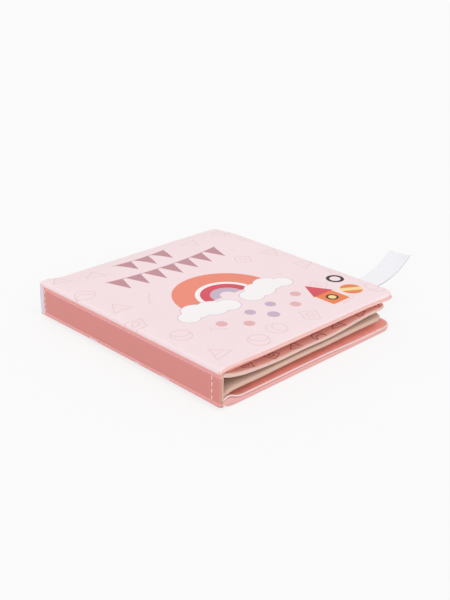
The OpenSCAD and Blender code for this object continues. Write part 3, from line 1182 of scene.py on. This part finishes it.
class CRINKLEBOOK_OT_creases(bpy.types.Operator):
    """Makes the outer cloth where it bends round the two creases"""

    bl_idname = "crinklebook.creases"
    bl_label = "Creases"

    def execute(self, context):
        face_x = SPINE_LOW.x
        top, bottom = HINGES["front_cover_hinge"].z, HINGES["back_cover_hinge"].z
        crease_strip(
            "front_crease", Cover(True, sizes().front_run, sizes().front_tail_r),
            [(face_x + x * MM, top + z * MM) for x, z in GROOVE], (0.0, 0.03, 0.13, 0.29, 0.5),
            bpy.data.materials["printed cotton"],
        )
        crease_strip(
            "back_crease", Cover(False, sizes().back_run, sizes().back_tail_r),
            [(face_x + x * MM, bottom - z * MM) for x, z in GROOVE[:-1]], (0.0, 0.06, 0.14, 0.24, 0.35),
            bpy.data.materials["back salmon cotton"],
        )
        bm = bmesh.new()
        for start, stop in SCRAPS:
            steps = 10
            x, z = face_x + 0.1 * MM, bottom + 0.1 * MM + CREASE_LIFT
            run = [Vector((x, (start + (stop - start) * k / steps) * MM, z)) for k in range(steps + 1)]
            tube(bm, run, SCRAP_R)
        close_skins(bm, 0.001 * MM)
        scraps = object_from(bm, "crease_scraps", [bpy.data.materials["white seam allowance"]])
        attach(scraps, "spine_and_leaves")
        return {"FINISHED"}


# Ribbon tag: radius of its bend, its cloth, half the gap in its fold, how far it is sewn in, and its foot.
TAG_BEND_R = 41 * MM
TAG_T = 1.2 * MM
TAG_PLY = 0.3 * MM
TAG_HALF_GAP = 0.42 * MM
TAG_SEWN_IN = 1.2 * MM
TAG_WIDTH = 15.5 * MM
TAG_FOOT_Y = -55 * MM
TAG_SEAM_H = 0.6 * MM
TAG_STEPS = 22
TAG_ROWS = 12


class CRINKLEBOOK_OT_tag(bpy.types.Operator):
    """Makes the folded ribbon that is sewn in the fore edge"""

    bl_idname = "crinklebook.tag"
    bl_label = "Ribbon Tag"

    def execute(self, context):
        base_z = FRONT_INNER_Z + TAG_SEAM_H
        turn = math.acos(1 - (TAG_HIGH.z - TAG_T / 2 - base_z) / TAG_BEND_R)
        root = -TAG_SEWN_IN

        def point(distance, side):
            """Point of a layer of the ribbon: the layers part as they leave the seam."""
            height = side * TAG_HALF_GAP * ease(distance, root, 6 * MM)
            angle = max(0.0, distance) / TAG_BEND_R
            radius = TAG_BEND_R - height
            x = FORE_X + min(0.0, distance) + radius * math.sin(angle)
            return x, base_z + TAG_BEND_R - radius * math.cos(angle)

        length = turn * TAG_BEND_R
        run = [root + (length - root) * k / TAG_STEPS for k in range(TAG_STEPS + 1)]
        path = [point(d, 1) for d in run]
        fold = point(length, 0)
        for k in range(1, 6):
            angle = turn + math.pi / 2 - math.pi * k / 6
            turned = TAG_HALF_GAP * math.cos(angle), TAG_HALF_GAP * math.sin(angle)
            path.append((fold[0] + turned[0], fold[1] + turned[1]))
        path += [point(d, -1) for d in reversed(run)]
        bm = bmesh.new()
        middle = (TAG_LOW.y + TAG_HIGH.y) / 2

        def place(i, j):
            x, z = path[i]
            across = 2 * j / TAG_ROWS - 1
            out = max(0.0, (x - FORE_X) / (TAG_HIGH.x - FORE_X))
            curl = 0.8 * MM * out * out * (across * across - 0.3)
            y = TAG_FOOT_Y + (middle - TAG_FOOT_Y) * out + across * TAG_WIDTH / 2
            return Vector((x, y, z + curl - 0.5 * MM * out * (across + out)))

        quilt(bm, len(path) - 1, TAG_ROWS, place)
        bmesh.ops.recalc_face_normals(bm, faces=bm.faces)
        tag = object_from(bm, "satin_tag", [satin_ribbon()])
        thicken(tag, TAG_PLY, 0.0)
        smoothen(tag)
        cut = sum(math.dist(a, b) for a, b in zip(path, path[1:]))
        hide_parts("ribbon_tag")
        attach(tag, "front_cover")
        return {"FINISHED"}


def sew(bm, start, stop, pitch, radius, index):
    """Adds a row of stitches on the spine, each a short thread that dips in at both ends."""
    a, b = Vector(start), Vector(stop)
    count = max(1, round((b - a).length / pitch))
    turned = (b - a).to_track_quat("Z", "X").to_matrix().to_4x4()
    scale = Matrix.Diagonal((radius, radius, 0.42 * (b - a).length / count, 1.0))
    for k in range(count):
        made = bmesh.ops.create_uvsphere(bm, u_segments=8, v_segments=5, radius=1.0)
        place = Matrix.Translation(a.lerp(b, (k + 0.5) / count)) @ turned @ scale
        bmesh.ops.transform(bm, matrix=place, verts=made["verts"])
        for face in {f for v in made["verts"] for f in v.link_faces}:
            face.material_index = index


class CRINKLEBOOK_OT_stitching(bpy.types.Operator):
    """Sews the rectangle on the spine"""

    bl_idname = "crinklebook.stitching"
    bl_label = "Stitching"

    def execute(self, context):
        s = sizes()
        tail, head, bottom, top = spine_stitch_box()
        x = SPINE_LOW.x - 0.05 * MM
        bm = bmesh.new()
        for y in (tail, head):
            sew(bm, (x, y, bottom), (x, y, top), s.stitch_pitch, 1.5 * s.stitch_r, 0)
        for z in (bottom, top):
            sew(bm, (x, tail, z), (x, head, z), s.stitch_pitch, s.stitch_r, 1)
        threads = [sewing_thread("cross thread", tuple(colours().thread))]
        threads.append(sewing_thread("edge thread", tuple(colours().edge_thread)))
        stitches = object_from(bm, "spine_stitches", threads)
        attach(stitches, "spine_and_leaves")
        return {"FINISHED"}


class CRINKLEBOOK_OT_fillings(bpy.types.Operator):
    """Gives the foam and the film inside the cloth their materials"""

    bl_idname = "crinklebook.fillings"
    bl_label = "Fillings"

    def execute(self, context):
        palette = colours()
        foam = plain_filling("polyurethane foam", tuple(palette.foam), 0.95, 1200.0)
        film = plain_filling("crinkle film", tuple(palette.film), 0.25, 90.0)
        for name, material in (("spine_strip", foam), ("front_leaf_film", film), ("back_leaf_film", film)):
            mesh = frame["nodes"][name].data
            mesh.materials.clear()
            mesh.materials.append(material)
        return {"FINISHED"}


def seen_ray(tree):
    """1 for the rays that the camera, a gloss or a clear piece sends out."""
    path = add_node(tree, "LightPath")
    seen = calc(tree, "MAXIMUM", path.outputs["Is Camera Ray"], path.outputs["Is Glossy Ray"])
    return calc(tree, "MAXIMUM", seen, path.outputs["Is Transmission Ray"])


GLOW_SHARE = 0.8


def white_floor():
    """Seamless studio floor: matt white paper that glows to the camera and keeps a soft shadow."""
    material, tree, shader = new_material("matt white floor")
    fill(shader, {"Base Color": tuple(colours().floor), "Roughness": 1.0, "Specular IOR Level": 0.0})
    share = calc(tree, "MULTIPLY", seen_ray(tree), GLOW_SHARE)
    glow = add_node(tree, "Emission", {"Color": tuple(colours().glow), "Strength": 1.0})
    mixed = add_node(tree, "MixShader", {0: share, 1: shader.outputs[0], 2: glow.outputs[0]})
    output = next(node for node in tree.nodes if node.type == "OUTPUT_MATERIAL")
    tree.links.new(mixed.outputs[0], output.inputs["Surface"])
    return material


SUN_STRENGTH = 1.05
SKY_STRENGTH = 0.67
FLOOR_SIZE = 9.0


class CRINKLEBOOK_OT_stage(bpy.types.Operator):
    """Makes the camera, the pale floor and the soft studio light"""

    bl_idname = "crinklebook.stage"
    bl_label = "Stage"

    def execute(self, context):
        scene = context.scene
        scene.view_settings.view_transform = "Standard"
        data = bpy.data.cameras.new("camera")
        data.lens = CAMERA_LENS
        data.sensor_width = 36.0
        data.clip_start = 0.01
        camera = bpy.data.objects.new("camera", data)
        scene.collection.objects.link(camera)
        az, el = CAMERA_AZIMUTH, CAMERA_ELEVATION
        back = Vector((math.sin(az) * math.cos(el), -math.cos(az) * math.cos(el), math.sin(el)))
        right = Vector((math.cos(az), math.sin(az), 0.0))
        up = back.cross(right)
        c, s = math.cos(CAMERA_ROLL), math.sin(CAMERA_ROLL)
        turned = Matrix((c * right + s * up, c * up - s * right, back)).transposed()
        camera.matrix_world = Matrix.Translation(CAMERA_PLACE) @ turned.to_4x4()
        scene.camera = camera

        bm = bmesh.new()
        bmesh.ops.create_grid(bm, x_segments=1, y_segments=1, size=FLOOR_SIZE / 2)
        object_from(bm, "floor", [white_floor()], smooth=False)

        world = bpy.data.worlds.new("studio")
        world.use_nodes = True
        tree = world.node_tree
        tree.nodes.clear()
        light = add_node(tree, "Background", {"Color": (1.0, 1.0, 1.0, 1.0), "Strength": SKY_STRENGTH})
        backdrop = add_node(tree, "Background", {"Color": tuple(colours().floor), "Strength": 1.0})
        shades = {1: light.outputs[0], 2: backdrop.outputs[0]}
        mixed = add_node(tree, "MixShader", {0: seen_ray(tree), **shades})
        add_node(tree, "OutputWorld", {"Surface": mixed.outputs[0]})
        scene.world = world

        lamp = bpy.data.lights.new("softbox", "SUN")
        lamp.energy = SUN_STRENGTH
        lamp.angle = math.radians(70)
        softbox = bpy.data.objects.new("softbox", lamp)
        softbox.rotation_euler = (math.radians(28), math.radians(-22), 0.0)
        scene.collection.objects.link(softbox)
        return {"FINISHED"}


class CRINKLEBOOK_PT_panel(bpy.types.Panel):
    """Lists the book's operators, sizes and colours"""

    bl_idname = "CRINKLEBOOK_PT_panel"
    bl_label = "Crinkle Book"
    bl_space_type = "VIEW_3D"
    bl_region_type = "UI"
    bl_category = "Crinkle Book"

    def draw(self, context):
        for operator in OPERATORS:
            self.layout.operator(operator.bl_idname)
        for group in (context.scene.crinkle_book_sizes, context.scene.crinkle_book_colours):
            box = self.layout.box()
            for name in group.bl_rna.properties.keys():
                if name not in {"rna_type", "name"}:
                    box.prop(group, name)


OPERATORS = (
    CRINKLEBOOK_OT_stage,
    CRINKLEBOOK_OT_fillings,
    CRINKLEBOOK_OT_front_cover,
    CRINKLEBOOK_OT_back_cover,
    CRINKLEBOOK_OT_leaves,
    CRINKLEBOOK_OT_spine,
    CRINKLEBOOK_OT_creases,
    CRINKLEBOOK_OT_tag,
    CRINKLEBOOK_OT_stitching,
)
CLASSES = (BookSizes, BookColours) + OPERATORS + (CRINKLEBOOK_PT_panel,)


def register():
    """Adds the operators, the panel and the scene's properties."""
    for cls in CLASSES:
        bpy.utils.register_class(cls)
    bpy.types.Scene.crinkle_book_sizes = PointerProperty(type=BookSizes)
    bpy.types.Scene.crinkle_book_colours = PointerProperty(type=BookColours)


def unregister():
    """Takes away what register() added."""
    del bpy.types.Scene.crinkle_book_colours
    del bpy.types.Scene.crinkle_book_sizes
    for cls in reversed(CLASSES):
        bpy.utils.unregister_class(cls)


def main():
    """Builds every piece in order."""
    register()
    for operator in OPERATORS:
        category, name = operator.bl_idname.split(".")
        getattr(getattr(bpy.ops, category), name)()


if __name__ == "__main__":
    main()
